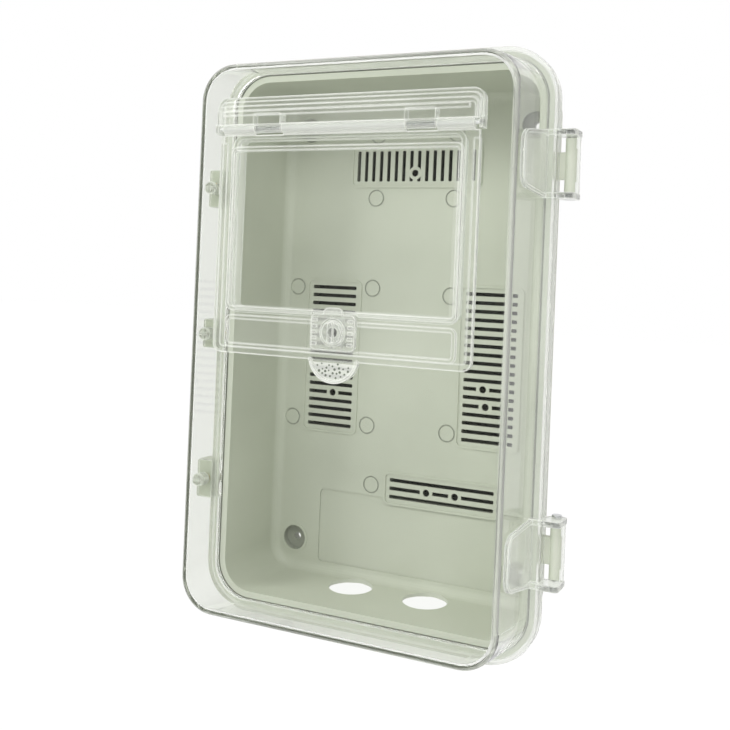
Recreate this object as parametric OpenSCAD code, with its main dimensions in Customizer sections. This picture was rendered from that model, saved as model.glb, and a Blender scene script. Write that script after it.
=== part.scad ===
// Wall-hung meter enclosure: a moulded tray with a deep clear lid on two side hinges,
// a clear window flap on a rod under a hood, a quarter-turn window latch and three seal screws.
// Origin: centre of the four wall fixing holes, on the wall plane. +Z up, the front faces -Y.

/* [Lid] */
// Width of the lid's front face
lid_w = 184; // [176:1:220]
// Height of the lid's front face
lid_h = 303; // [290:1:360]
// Distance from the lid's front face to the face of its flange
lid_depth = 37.5; // [32:0.5:50]
// Corner radius of the lid's front face
lid_corner_r = 20; // [18:0.5:24]
// Radius of the edge between the front face and the side walls
lid_edge_r = 3; // [2:0.5:4]
// Widening of each side wall from the front face to the flange
lid_draft = 3.4; // [2.5:0.1:4]
// Wall thickness of the lid
lid_wall = 2.5; // [2:0.1:3]
// Width of the flange around the lid
flange_w = 5.5; // [5:0.5:7]
// Thickness of the flange
flange_t = 2.5; // [2:0.1:3]
// Length of the skirt behind the flange
skirt_depth = 5; // [4:0.5:6]
// Thickness of the skirt
skirt_t = 2; // [1.5:0.1:2.4]

/* [Tray] */
// Depth inside the tray from its rim to its back wall
tray_depth = 52.4; // [45:0.1:70]
// Wall thickness of the tray
tray_wall = 2.5; // [2:0.1:3]
// Inset of the tray's mouth from the outline of the lid's front face
mouth_inset = 3.1; // [2.8:0.1:4]
// Narrowing of each tray wall from the rim to the back
tray_draft = 1.8; // [1:0.1:2.5]
// Radius between the tray's walls and its back wall
tray_fillet = 6; // [4:0.5:7]
// Thickness of the rim flange
rim_t = 3.5; // [3:0.1:4.5]
// Depth of the outer lip of the rim
rim_lip = 5; // [4.5:0.1:6]
// Length by which the feet and pads stand behind the back wall
foot_h = 6.8; // [6:0.1:9]

/* [Wall fixing] */
// Distance between the fixing holes across the width
fix_w = 144; // [136:1:146]
// Distance between the fixing holes over the height
fix_h = 256; // [240:1:258]
// Diameter of the recess in each foot
recess_d = 15; // [12:0.5:15]
// Diameter of each fixing hole
fix_hole_d = 4.5; // [4:0.5:6.5]
// Wall of each foot around its recess
foot_wall = 2; // [1.5:0.1:2.2]
// Thickness of each foot behind its recess
foot_web = 5.4; // [3:0.1:6]

/* [Screw fields] */
// Width of one slot
slot_w = 2.2; // [1.6:0.1:2.4]
// Distance from slot to slot
slot_pitch = 5; // [4.5:0.1:5.2]
// Number of slots in the top field
top_slots = 16; // [10:1:16]
// Length of the slots in the top field
top_slot_len = 18.5; // [14:0.5:20]
// Height of the top field's centre
top_field_z = 105; // [104:0.5:106]
// Number of slots in each side field
side_slots = 18; // [10:1:18]
// Length of the slots in the side fields
side_slot_len = 30; // [24:1:31]
// Distance of the side fields from the middle
side_field_x = 51; // [50:0.5:51.5]
// Height of the side fields' centre
side_field_z = -12.5; // [-14:0.5:-10]
// Number of slots in the bottom field
bottom_slots = 3; // [2:1:3]
// Length of the slots in the bottom field
bottom_slot_len = 65.5; // [50:0.5:68]
// Distance of the bottom field's centre from the middle
bottom_field_x = 24.5; // [22:0.5:26]
// Height of the bottom field's centre
bottom_field_z = -89; // [-91:0.5:-87]
// Height of the raised frame around each field
frame_h = 0.6; // [0.4:0.1:1]
// Width of the raised frame around each field
frame_w = 1.2; // [1:0.1:1.5]
// Thickness of plastic left behind each slot
pad_skin = 1.2; // [1:0.1:2]
// Diameter of the screw bosses in the fields
boss_d = 8; // [7:0.5:9]
// Diameter of the pilot hole in each boss
pilot_d = 4.2; // [3:0.1:4.5]

/* [Cable entries] */
// Diameter of each cable entry
cable_d = 26; // [20:0.5:27]
// Distance between the two cable entries
cable_pitch = 47.6; // [42:0.1:56]
// Distance from the tray's back wall to the cable entries' centre
cable_from_back = 15.5; // [15.5:0.5:20]
// Width of the step around each cable entry, on the outside
entry_step = 1.6; // [1:0.1:2]
// Thickness of the wall within that step
entry_skin = 1.5; // [1.4:0.1:1.8]

/* [Gasket] */
// Width of the gasket groove in the rim
groove_w = 3.4; // [3:0.1:3.8]
// Depth of the gasket groove
groove_depth = 2; // [1.6:0.1:2.2]

/* [Side hinges] */
// Distance of each side hinge from mid height
hinge_z = 98.5; // [80:0.5:110]
// Overall height of each side hinge
hinge_h = 35; // [30:0.5:40]
// Thickness of the cheeks at the ends of each hinge
cheek_t = 3; // [2.5:0.1:3.5]
// Distance of the hinge pin from the edge of the lid's flange
hinge_out = 5.3; // [5:0.1:8]
// Diameter of the hinge pins
pin_d = 3; // [2.5:0.1:3.4]
// Diameter of the knuckles around the pins
knuckle_d = 6; // [5.5:0.1:7]
// Height of the tray's arms that carry the knuckles
arm_h = 14; // [10:0.5:16]
// Thickness of the tray's arms
arm_t = 3.2; // [2.8:0.1:4]
// Thickness of the leaf on the lid's side wall
leaf_t = 1.2; // [1:0.1:2]
// Thickness of the web that ties the cheeks together beyond the pin
web_t = 1.2; // [1:0.1:1.6]

/* [Seal screws] */
// Distance of the upper and lower seal lugs from mid height
lug_z = 86; // [75:0.5:95]
// Height of the upper and lower seal lugs
lug_h = 22; // [18:0.5:24]
// Height of the middle seal lug
mid_lug_h = 17; // [14:0.5:20]
// Length by which the lugs stand out beyond the lid's flange
lug_out = 9.2; // [8.8:0.1:11]
// Diameter of the seal screws' shanks
shank_d = 4; // [3.5:0.1:4.2]
// Diameter of the seal screws' heads
head_d = 7.6; // [7:0.1:8]
// Height of the seal screws' heads
head_h = 6; // [5:0.1:7]

/* [Window] */
// Width of the window opening
window_w = 128; // [116:1:130]
// Height of the window opening
window_h = 90; // [80:1:94]
// Height of the window opening's centre above mid height
window_z = 63.5; // [62:0.5:65]
// Depth of the collar behind the window opening
collar_depth = 4.5; // [3:0.1:6]
// Thickness of the collar behind the window opening
collar_t = 1.6; // [1.4:0.1:2]
// Margin by which the flap is wider than the opening on each side
flap_side = 10.5; // [9:0.5:11]
// Height of the strip below the window opening that carries the latch
strip_h = 25; // [24:0.5:28]
// Thickness of the flap
flap_t = 2; // [1.8:0.1:2.4]
// Height of the raised pane on the flap
pane_h = 1.2; // [0.8:0.1:1.5]
// Height of the window seal on the lid
seal_h = 1.2; // [1:0.1:1.4]

/* [Window hinge] */
// Diameter of the window hinge rod
rod_d = 2.4; // [2:0.1:2.6]
// Diameter of the barrels around the rod
barrel_d = 5.2; // [4.8:0.1:5.4]
// Height of the hood over the window hinge
hood_h = 15.5; // [14:0.5:17]
// Distance by which the hood stands out from the lid
hood_out = 8.1; // [7.8:0.1:9]
// Wall thickness of the hood
hood_t = 1.8; // [1.5:0.1:2]

/* [Window latch] */
// Width of the latch block
block_w = 25.5; // [23:0.5:28]
// Height of the latch block
block_h = 18.5; // [17:0.5:20]
// Distance by which the latch block stands out from the flap
block_t = 2.6; // [2:0.1:4]
// Diameter of the latch knob
knob_d = 13; // [11:0.5:14]
// Diameter of the latch shaft
shaft_d = 5; // [4:0.1:5.5]
// Length of the latch cam
cam_len = 14.4; // [12:0.2:15]
// Width of the latch cam
cam_w = 5.4; // [5:0.1:6]
// Radius of the finger pull below the flap
pull_r = 14.5; // [12:0.5:16]

/* [Hidden] */

// Clearances
eps = 0.01;
run_gap = 0.05;   // radial clearance of a running pin
side_gap = 0.3;   // end clearance between moving faces
skirt_gap = 0.6;  // between the lid's skirt and the rim
rim_gap = 0.8;    // between the lid's flange and the rim
swing_gap = 0.4;  // between the lid's skirt and what stands behind it
film = 0.05;      // film of adhesive under each fixed clear piece

// Planes across the depth
y_floor = -(tray_wall + foot_h);
y_back = y_floor + tray_wall;
y_rim = y_floor - tray_depth;
y_part = y_rim - rim_gap;
y_flange = y_part - flange_t;
y_front = y_flange - lid_depth;

// Every outline is a rounded rectangle at a distance u outside this core rectangle
core_x = lid_w / 2 - lid_corner_r;
core_z = lid_h / 2 - lid_corner_r;
u_face = lid_corner_r;
u_root = u_face + lid_draft;
u_flange = u_root + flange_w;
u_skirt = u_flange - skirt_t;
u_rim = u_skirt - skirt_gap;
u_mouth = u_face - mouth_inset;
u_deep = u_mouth - tray_draft;
u_plate = u_face - lid_edge_r - 3;
u_floor = u_deep - tray_fillet;
u_groove = (u_mouth + u_rim) / 2 + 0.6;

// Side hinges and seal lugs
wall_slope = lid_draft / (lid_depth - lid_edge_r);
x_pin = core_x + u_flange + hinge_out;
y_arm = y_part + skirt_depth + swing_gap;
y_pin = y_arm + arm_t / 2;
web_x = x_pin + knuckle_d / 2 + 0.9;
lug_x = core_x + u_flange + lug_out;
screw_x = lug_x - head_d / 2 - 0.8;
lug_depth = 10;
lugs = [[lug_z, lug_h], [0, mid_lug_h], [-lug_z, lug_h]];
insert_r = shank_d / 2 + 1.2;
insert_len = 6;
insert_gap = 0.2;
washer_t = 0.8;

// Window
window_top = window_z + window_h / 2;
window_bottom = window_z - window_h / 2;
flap_x = window_w / 2 + flap_side;
flap_bottom = window_bottom - strip_h;
seal_in = 0.6;      // from the opening's edge to the seal
seal_w = 2.4;
flap_gap = seal_h + side_gap;
z_rod = window_top + seal_in + seal_w + barrel_d / 2 + side_gap;
y_rod = y_front - barrel_d / 2 - 0.7;
hood_bottom = z_rod + 1.4;
hood_top = hood_bottom + hood_h;
hood_x = flap_x + side_gap + hood_t;
lug_pos = [-44, 44];
lug_len = 16;
lug_rise = 6;
flap_top = z_rod - barrel_d / 2 - 0.9;
border_w = 3.4;     // width of the flap's turned-in border
latch_z = flap_bottom + block_h / 2 + 5.5;
cam_t = 2.5;
cam_gap = 0.7;
y_cam = y_front + lid_wall + cam_gap;
knob_t = 2;
grip_t = 3;
tab_w = 11;
y_block = y_front - flap_gap - flap_t - block_t;
latch_screw_r = 1.25;

$fn = 48;

function arc(cu, cv, r, from, to, n) =
    [for (i = [0 : n]) let (a = from + (to - from) * i / n) [cu + r * cos(a), cv + r * sin(a)]];

// Sweeps a profile drawn as (distance outward, depth) around the core rectangle, from depth y on
module ring(y) {
    translate([0, y, 0]) rotate([-90, 0, 0])
        for (k = [0 : 3]) {
            side = k % 2 == 0 ? core_x : core_z;
            run = k % 2 == 0 ? core_z : core_x;
            rotate([0, 0, 90 * k]) translate([side, run, 0]) {
                rotate_extrude(angle = 90) children();
                rotate([90, 0, 0]) linear_extrude(2 * run) children();
            }
        }
}

module rounded(w, h, r) {
    square([w - 2 * r, h], center = true);
    square([w, h - 2 * r], center = true);
    for (x = [-1, 1], z = [-1, 1])
        translate([x * (w / 2 - r), z * (h / 2 - r)]) circle(r);
}

// A 2D shape in the X-Z plane, extruded from depth y0 to y1
module facing(y0, y1) {
    translate([0, y1, 0]) rotate([90, 0, 0]) linear_extrude(y1 - y0) children();
}

module plate(u, y0, y1) {
    facing(y0, y1) rounded(2 * (core_x + u), 2 * (core_z + u), u);
}

module rod_y(x, z, r, y0, y1) {
    translate([x, y0, z]) rotate([-90, 0, 0]) cylinder(h = y1 - y0, r = r);
}

module rod_x(x0, x1, y, z, r) {
    translate([x0, y, z]) rotate([0, 90, 0]) cylinder(h = x1 - x0, r = r);
}

module box(from, to) {
    translate(from) cube(to - from);
}

// ---------------------------------------------------------------- tray

module slots(count, len) {
    for (i = [0 : count - 1])
        translate([0, (i - (count - 1) / 2) * slot_pitch]) rounded(len, slot_w, 0.5, $fn = 8);
}

function field_span(count) = (count - 1) * slot_pitch + slot_w;

// The four screw fields: centre, turn, number of slots, slot length
fields = [
    [0, top_field_z, 90, top_slots, top_slot_len],
    [-side_field_x, side_field_z, 0, side_slots, side_slot_len],
    [side_field_x, side_field_z, 0, side_slots, side_slot_len],
    [bottom_field_x, bottom_field_z, 0, bottom_slots, bottom_slot_len]
];
field_margin = 3.8;

module at_field(f) {
    translate([f[0], f[1]]) rotate(f[2]) children();
}

module field_outline(f, grow) {
    at_field(f) rounded(f[4] + 2 * grow, field_span(f[3]) + 2 * grow, grow);
}

// Pilot bosses stand in the fields, each at a multiple of the slot pitch
bottom_boss_x = 9;
bosses = [
    [0, top_field_z - top_slot_len / 2 + 5],
    [-side_field_x + 1.5, side_field_z - 4.5 * slot_pitch],
    [side_field_x - 3, side_field_z - 2.5 * slot_pitch],
    [side_field_x - 1, side_field_z - 4.5 * slot_pitch],
    [bottom_field_x - bottom_boss_x, bottom_field_z],
    [bottom_field_x + bottom_boss_x, bottom_field_z]
];

module tray_profile() {
    polygon(concat(
        [[u_mouth, 0], [u_rim, 0], [u_rim, rim_lip], [u_rim - tray_wall, rim_lip],
         [u_rim - tray_wall, rim_t], [u_mouth + tray_wall, rim_t]],
        arc(u_floor, tray_depth - tray_fillet, tray_fillet + tray_wall, 0, 90, 6),
        [for (p = arc(u_floor, tray_depth - tray_fillet, tray_fillet, 90, 0, 6)) p]
    ));
}

module feet() {
    for (x = [-1, 1], z = [-1, 1])
        rod_y(x * fix_w / 2, z * fix_h / 2, recess_d / 2 + foot_wall, y_floor, 0);
}

// Low ring around each recess on the inside of the back wall
module recess_rings() {
    for (x = [-1, 1], z = [-1, 1])
        rod_y(x * fix_w / 2, z * fix_h / 2, recess_d / 2 + 1.5, y_floor - 0.5, y_back);
}

module foot_holes() {
    for (x = [-1, 1], z = [-1, 1]) {
        rod_y(x * fix_w / 2, z * fix_h / 2, recess_d / 2, y_floor - 1, -foot_web);
        rod_y(x * fix_w / 2, z * fix_h / 2, fix_hole_d / 2, -foot_web - 1, 1);
    }
}

cable_y = y_floor - cable_from_back;
cable_u = u_deep + tray_draft * (cable_from_back - tray_fillet) / (tray_depth - tray_fillet);
cable_z = -(core_z + cable_u);

// Cable entries: a hole in a thin skin, stepped wider from below
module cable_holes() {
    for (x = [-1, 1]) translate([x * cable_pitch / 2, cable_y, cable_z]) {
        cylinder(h = 4 * tray_wall, r = cable_d / 2, center = true);
        translate([0, 0, -entry_skin - tray_wall]) cylinder(h = tray_wall, r = cable_d / 2 + entry_step);
    }
}

// Arm and knuckle of one side hinge on the tray
module tray_knuckle(z) {
    h = hinge_h - 2 * cheek_t - 2 * side_gap;
    translate([x_pin, y_pin, z - h / 2]) cylinder(h = h, r = knuckle_d / 2);
    box([core_x + u_mouth + tray_wall / 2, y_arm, z - arm_h / 2], [x_pin, y_arm + arm_t, z + arm_h / 2]);
}

// Seal lug on the tray: a block beside the lid's skirt on an arm that passes behind it
module tray_lug(z, h) {
    box([-lug_x, y_part + side_gap, z - h / 2],
        [-(core_x + u_flange + swing_gap), y_part + lug_depth, z + h / 2]);
    box([-(lug_x - eps), y_arm, z - h / 2],
        [-(core_x + u_mouth + tray_wall / 2), y_part + lug_depth, z + h / 2]);
}

// Shallow recessed panel low on the back wall
panel_depth = 0.8;
panel_w = 132;
panel_h = 45;
panel_x = 11;
panel_z = -117.5;

ejector_r = 5.3;
ejector_marks = [
    [-77, -52.5], [-77, 29.5], [-25, 124], [26, 124], [-25, 85.5], [25.5, 85.5], [-25, 30.5],
    [26, 28], [-25, -53], [27, -52.5], [-20.5, -88.5], [0.5, -135]
];

module base_tray() {
    color([0.73, 0.75, 0.69])
    difference() {
        union() {
            ring(y_rim) tray_profile();
            difference() {
                plate(u_floor + eps, y_floor, y_back);
                facing(y_floor - 1, y_floor + panel_depth)
                    translate([panel_x, panel_z]) rounded(panel_w, panel_h, 3);
            }
            feet();
            recess_rings();
            facing(y_floor, -pad_skin + 0.4) for (f = fields) field_outline(f, field_margin - frame_w);
            facing(y_floor - frame_h, y_back)
                for (f = fields) difference() {
                    field_outline(f, field_margin);
                    field_outline(f, field_margin - frame_w);
                }
            for (z = [-hinge_z, hinge_z]) tray_knuckle(z);
            for (l = lugs) tray_lug(l[0], l[1]);
        }
        ring(y_rim - eps) translate([u_groove - groove_w / 2, 0]) square([groove_w, groove_depth + eps]);
        foot_holes();
        cable_holes();
        facing(y_floor - 1, -pad_skin - 0.6) difference() {
            for (f = fields) at_field(f) slots(f[3], f[4]);
            for (b = bosses) translate(b) circle(boss_d / 2);
        }
        for (b = bosses) rod_y(b[0], b[1], pilot_d / 2, y_floor - 1, -pad_skin - 0.6);
        for (m = ejector_marks) facing(y_floor - 1, y_floor + 0.5) translate(m) difference() {
            circle(ejector_r);
            circle(ejector_r - 0.9);
        }
        for (z = [-hinge_z, hinge_z])
            translate([x_pin, y_pin, z - hinge_h]) cylinder(h = 2 * hinge_h, r = pin_d / 2 + run_gap);
        for (l = lugs) rod_y(-screw_x, l[0], insert_r, y_part, y_part + side_gap + insert_len);
        for (l = lugs) rod_y(-screw_x, l[0], shank_d / 2 + insert_gap, y_part, y_part + lug_depth + 1);
    }
}

// Threaded brass inserts in the three seal lugs
module lug_inserts() {
    color([0.78, 0.62, 0.32])
    for (l = lugs) difference() {
        rod_y(-screw_x, l[0], insert_r, y_part + side_gap, y_part + side_gap + insert_len);
        rod_y(-screw_x, l[0], shank_d / 2 + insert_gap, y_part, y_part + lug_depth);
    }
}

module rim_gasket() {
    h = groove_depth + rim_gap - 0.1;
    color([0.16, 0.17, 0.17])
    ring(y_rim + groove_depth - h)
        translate([u_groove, 0]) polygon([
            [-groove_w / 2 + 0.9, 0], [groove_w / 2 - 0.9, 0], [groove_w / 2 - 0.1, 0.7],
            [groove_w / 2 - 0.1, h], [-groove_w / 2 + 0.1, h], [-groove_w / 2 + 0.1, 0.7]
        ]);
}

// ---------------------------------------------------------------- lid

module lid_profile() {
    root = lid_depth + flange_t;
    polygon(concat(
        [[u_plate - eps, 0]],
        arc(u_face - lid_edge_r, lid_edge_r, lid_edge_r, -90, 0, 5),
        [[u_root, lid_depth]],
        arc(u_flange - 1.2, lid_depth + 1.2, 1.2, -90, 0, 3),
        [[u_flange, root + skirt_depth], [u_skirt, root + skirt_depth], [u_skirt, root],
         [u_root - lid_wall, root], [u_face - lid_wall, lid_wall + 1], [u_face - lid_wall - 1, lid_wall],
         [u_plate - eps, lid_wall]]
    ));
}

module window_shape(grow) {
    translate([0, window_z]) rounded(window_w + 2 * grow, window_h + 2 * grow, 3 + grow);
}

latch_slot_w = cam_w + 1.6;
latch_slot_len = cam_len + 2.4;

// Ear of the lid in front of one seal lug
module lid_ear(z, h) {
    facing(y_flange, y_part) difference() {
        translate([-(lug_x + core_x + u_flange - 1.5) / 2, z])
            rounded(lug_x - core_x - u_flange + 1.5, h, 1.2);
        translate([-screw_x, z]) circle(shank_d / 2 + insert_gap);
    }
}

module lid_shell() {
    color([0.86, 0.89, 0.87, 0.35]) {
        difference() {
            union() {
                ring(y_front) lid_profile();
                plate(u_plate, y_front, y_front + lid_wall);
                facing(y_front, y_front + lid_wall + collar_depth) window_shape(collar_t);
            }
            facing(y_front - 1, y_front + lid_wall + collar_depth + 1) window_shape(0);
            facing(y_front - 1, y_front + lid_wall + 1)
                translate([0, latch_z]) rounded(latch_slot_w, latch_slot_len, 1.5);
        }
        for (l = lugs) lid_ear(l[0], l[1]);
    }
}

leaf_start = lid_edge_r + 2;
cheek_front = 3.5;

// Outline of a hinge leaf as (depth, height), drawn in from its edges by a margin
module leaf_outline(in) {
    r = 7 - in;
    front = leaf_start + in;
    tip = hinge_h / 2 - 3 - in;
    root = hinge_h / 2 - in;
    polygon(concat(
        arc(front + r, r - tip, r, 270, 180, 6), arc(front + r, tip - r, r, 180, 90, 6),
        [[lid_depth, root], [lid_depth, -root]]
    ));
}

// Layer of a leaf on the drafted side wall, up to height h above the wall
module leaf_layer(h) {
    root = lid_depth - film;
    linear_extrude(2 * hinge_h, center = true)
        polygon([for (end = [[0, film], [root, film], [root, h], [0, h]])
            [core_x + u_face + wall_slope * (end[0] - lid_edge_r) + end[1], y_front + end[0]]]);
}

// One side hinge bracket: a leaf with a raised border on the lid's side wall, and two cheeks
// around the flange that carry the pin and are tied together by a web beyond it
module hinge_bracket(z) {
    y_cheek = y_flange - cheek_front;
    x_edge = core_x + u_flange + film;
    x_root = core_x + u_root + film;
    x_end = web_x + web_t;
    cheek_z = hinge_h / 2 - cheek_t;
    slot_z = 8.5;
    color([0.86, 0.89, 0.87, 0.4])
    difference() {
        translate([0, 0, z]) {
            intersection() {
                union() {
                    leaf_layer(leaf_t);
                    difference() {
                        leaf_layer(leaf_t + 1);
                        translate([0, y_front, 0]) rotate([90, 0, 90])
                            linear_extrude(2 * x_end) leaf_outline(1.8);
                    }
                }
                translate([0, y_front, 0]) rotate([90, 0, 90]) linear_extrude(2 * x_end) leaf_outline(0);
            }
            for (s = [-1, 1]) {
                translate([0, 0, s * (hinge_h - cheek_t) / 2]) linear_extrude(cheek_t, center = true) {
                    polygon(concat(
                        [[x_root - wall_slope * cheek_front, y_cheek]],
                        arc(x_end - 2, y_cheek + 2, 2, -90, 0, 4),
                        [[x_end, y_pin + 0.8], [x_pin, y_pin + knuckle_d / 2],
                         [x_pin - knuckle_d / 2, y_pin], [x_edge, y_part + skirt_depth - 1],
                         [x_edge, y_flange - film], [x_root, y_flange - film]]
                    ));
                    translate([x_pin, y_pin]) circle(knuckle_d / 2);
                }
                translate([0, 0, s * (slot_z + cheek_z + eps) / 2])
                    box([x_pin + knuckle_d / 2 + side_gap, y_pin - 3.2, -(cheek_z - slot_z + eps) / 2],
                        [x_end, y_pin - 0.8, (cheek_z - slot_z + eps) / 2]);
            }
            box([web_x, y_pin - 3.2, -cheek_z - eps], [x_end, y_pin - 0.8, cheek_z + eps]);
        }
        translate([x_pin, y_pin, z - hinge_h]) cylinder(h = 2 * hinge_h, r = pin_d / 2);
    }
}

module hinge_bracket_upper() { hinge_bracket(hinge_z); }

module hinge_bracket_lower() { hinge_bracket(-hinge_z); }

module hinge_pin(z) {
    color([0.7, 0.71, 0.72])
    translate([x_pin, y_pin, z - hinge_h / 2]) {
        cylinder(h = hinge_h, r = pin_d / 2);
        translate([0, 0, hinge_h]) cylinder(h = 1, r = pin_d / 2 + 1);
    }
}

module hinge_pin_upper() { hinge_pin(hinge_z); }

module hinge_pin_lower() { hinge_pin(-hinge_z); }

// ---------------------------------------------------------------- window

// Front outline of the hood, drawn in at its sides and down from its top
module hood_outline(in, down, below) {
    r = hood_corner_r - in;
    x = hood_x - in;
    z = hood_top - down;
    polygon(concat(
        [[-x, hood_bottom - below], [x, hood_bottom - below]],
        arc(x - r, z - r, r, 0, 90, 6), arc(-x + r, z - r, r, 90, 180, 6)
    ));
}

// The hood's front rises in three steps: inset at the sides, drop from the top, depth behind the front
hood_steps = [[0, 0, 3.6], [1, 2.7, 1.7], [2, 5.4, 0]];
hood_corner_r = 6;
hood_rib_down = 8.2;
hood_rib_h = 2.2;
hood_rib_out = 0.8;

// Hood over the rod, open below, with end cheeks and two inner lugs that carry the rod
module window_hood() {
    y_seat = y_front - film;
    y_face = y_front - hood_out;
    cheek_bottom = z_rod - barrel_d / 2 - 0.4;
    lug_top = hood_bottom + lug_rise;
    color([0.86, 0.89, 0.87, 0.4])
    difference() {
        union() {
            difference() {
                for (k = hood_steps) facing(y_face + k[2], y_seat) hood_outline(k[0], k[1], 0);
                for (k = hood_steps)
                    facing(y_face + k[2] + hood_t, y_front + 1)
                        hood_outline(k[0] + hood_t, k[1] + hood_t, 1);
            }
            facing(y_face - hood_rib_out, y_face + eps)
                translate([0, hood_top - hood_rib_down - hood_rib_h / 2])
                    square([2 * (hood_x - hood_corner_r), hood_rib_h], center = true);
            for (x = [-1, 1])
                translate([x * (hood_x - hood_t / 2) - hood_t / 2, y_face + hood_t, cheek_bottom])
                    cube([hood_t, y_seat - y_face - hood_t, hood_bottom - cheek_bottom + 1]);
            for (x = lug_pos) {
                rod_x(x - lug_len / 2, x + lug_len / 2, y_rod, z_rod, barrel_d / 2);
                box([x - lug_len / 2, y_rod - barrel_d / 2, z_rod],
                    [x + lug_len / 2, y_seat, lug_top]);
                box([x - lug_len / 2, y_face + hood_t - eps, hood_bottom],
                    [x + lug_len / 2, y_rod, lug_top]);
            }
        }
        rod_x(-hood_x + hood_t / 2, hood_x - hood_t / 2, y_rod, z_rod, rod_d / 2);
    }
}

module window_hinge_rod() {
    color([0.75, 0.76, 0.77])
    rod_x(-hood_x + hood_t / 2, hood_x - hood_t / 2, y_rod, z_rod, rod_d / 2);
}

module window_seal() {
    color([0.9, 0.91, 0.89])
    facing(y_front - seal_h, y_front - film) difference() {
        window_shape(seal_in + seal_w);
        window_shape(seal_in);
    }
}

module flap_outline(z_top, grow) {
    z0 = flap_bottom - grow;
    x = flap_x + grow;
    r = 5 + grow;
    polygon(concat(
        [[x, z_top], [-x, z_top]],
        arc(-x + r, z0 + r, r, 180, 270, 5), arc(x - r, z0 + r, r, 270, 360, 5)
    ));
}

// Barrel spans between the hood's cheeks and its two inner lugs
barrel_end = flap_x - 2.4;
barrel_spans = [
    [-barrel_end, lug_pos[0] - lug_len / 2 - side_gap],
    [lug_pos[0] + lug_len / 2 + side_gap, lug_pos[1] - lug_len / 2 - side_gap],
    [lug_pos[1] + lug_len / 2 + side_gap, barrel_end]
];

module flap_frame(z0, z1, y) {
    facing(y - pane_h, y + eps) translate([0, (z0 + z1) / 2]) difference() {
        rounded(window_w + 5, z1 - z0, 3.5);
        rounded(window_w + 1, z1 - z0 - 4, 1.5);
    }
}

// Half-round pull with a raised rim
module finger_pull() {
    y_out = y_front - flap_gap - flap_t;
    for (layer = [[0, y_out, y_front - flap_gap], [pull_r - 1.6, y_out - 0.8, y_out + eps]])
        facing(layer[1], layer[2]) intersection() {
            translate([0, flap_bottom + pull_r / 5]) difference() {
                circle(pull_r);
                if (layer[0] > 0) circle(layer[0]);
            }
            translate([-pull_r, flap_bottom - pull_r]) square([2 * pull_r, pull_r + 1]);
        }
}

module window_flap() {
    y_out = y_front - flap_gap - flap_t;
    y_in = y_front - flap_gap;
    color([0.88, 0.91, 0.89, 0.35])
    difference() {
        union() {
            facing(y_out, y_in) flap_outline(flap_top, 0);
            // turned-in border
            facing(y_in - eps, y_front - side_gap) difference() {
                flap_outline(flap_top - 4, 0);
                flap_outline(flap_top - 3, -border_w);
            }
            // raised frames around the pane and around the latch strip
            flap_frame(window_bottom - 1.6, window_top - 4, y_out);
            flap_frame(flap_bottom + 3.5, window_bottom - 4.4, y_out);
            for (s = barrel_spans) rod_x(s[0], s[1], y_rod, z_rod, barrel_d / 2);
            for (s = barrel_spans)
                box([s[0], y_out, flap_top - eps], [s[1], y_in, z_rod]);
            finger_pull();
        }
        rod_x(-flap_x - 1, flap_x + 1, y_rod, z_rod, rod_d / 2 + run_gap);
        rod_y(0, latch_z, shaft_d / 2 + run_gap, y_out - 1, y_front);
        // the frames stop at the latch block
        facing(y_out - pane_h - 1, y_out) translate([0, latch_z])
            square([block_w + 2 * side_gap, block_h + 2 * side_gap], center = true);
    }
}

// ---------------------------------------------------------------- latch

module latch_block() {
    y_out = y_front - flap_gap - flap_t;
    color([0.86, 0.89, 0.87, 0.5])
    difference() {
        union() {
            facing(y_block, y_out - film) translate([0, latch_z]) rounded(block_w, block_h, 2.5);
            // tab that laps over the pane's frame
            facing(y_block, y_out - pane_h - film)
                translate([0, latch_z + block_h / 2]) rounded(tab_w, 7, 3);
            for (x = [-1, 1], i = [-2 : 2])
                facing(y_block - 0.6, y_block + eps)
                    translate([x * (block_w / 2 - 2.4), latch_z + i * 3]) square([3, 1.4], center = true);
        }
        rod_y(0, latch_z, knob_d / 2 + 0.6, y_block - 1, y_block + knob_t);
        rod_y(0, latch_z, shaft_d / 2 + run_gap, y_block, y_out + 1);
    }
}

module latch_knob() {
    color([0.9, 0.92, 0.9, 0.6])
    difference() {
        union() {
            rod_y(0, latch_z, knob_d / 2, y_block + 0.3, y_block + knob_t - side_gap);
            facing(y_block - grip_t / 2, y_block + 0.3 + eps)
                translate([0, latch_z]) circle(knob_d / 2 - 0.6, $fn = 8);
            facing(y_block - grip_t, y_block) translate([0, latch_z]) rounded(3, knob_d - 2.4, 1.4);
            rod_y(0, latch_z, shaft_d / 2, y_block + knob_t - side_gap - eps, y_cam);
        }
        rod_y(0, latch_z, latch_screw_r, y_cam - 4, y_cam + 1);
    }
}

module latch_cam() {
    color([0.72, 0.73, 0.74])
    facing(y_cam, y_cam + cam_t) difference() {
        translate([0, latch_z]) rounded(cam_w, cam_len, 2);
        translate([0, latch_z]) circle(latch_screw_r);
    }
}

module latch_screw() {
    color([0.6, 0.61, 0.62]) {
        rod_y(0, latch_z, latch_screw_r, y_cam - 4, y_cam + cam_t + eps);
        difference() {
            rod_y(0, latch_z, 2.3, y_cam + cam_t, y_cam + cam_t + 1.4);
            facing(y_cam + cam_t + 0.7, y_cam + cam_t + 2) translate([0, latch_z])
                for (turn = [0, 90]) rotate(turn) square([3, 0.7], center = true);
        }
    }
}

// ---------------------------------------------------------------- seal screws

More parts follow.
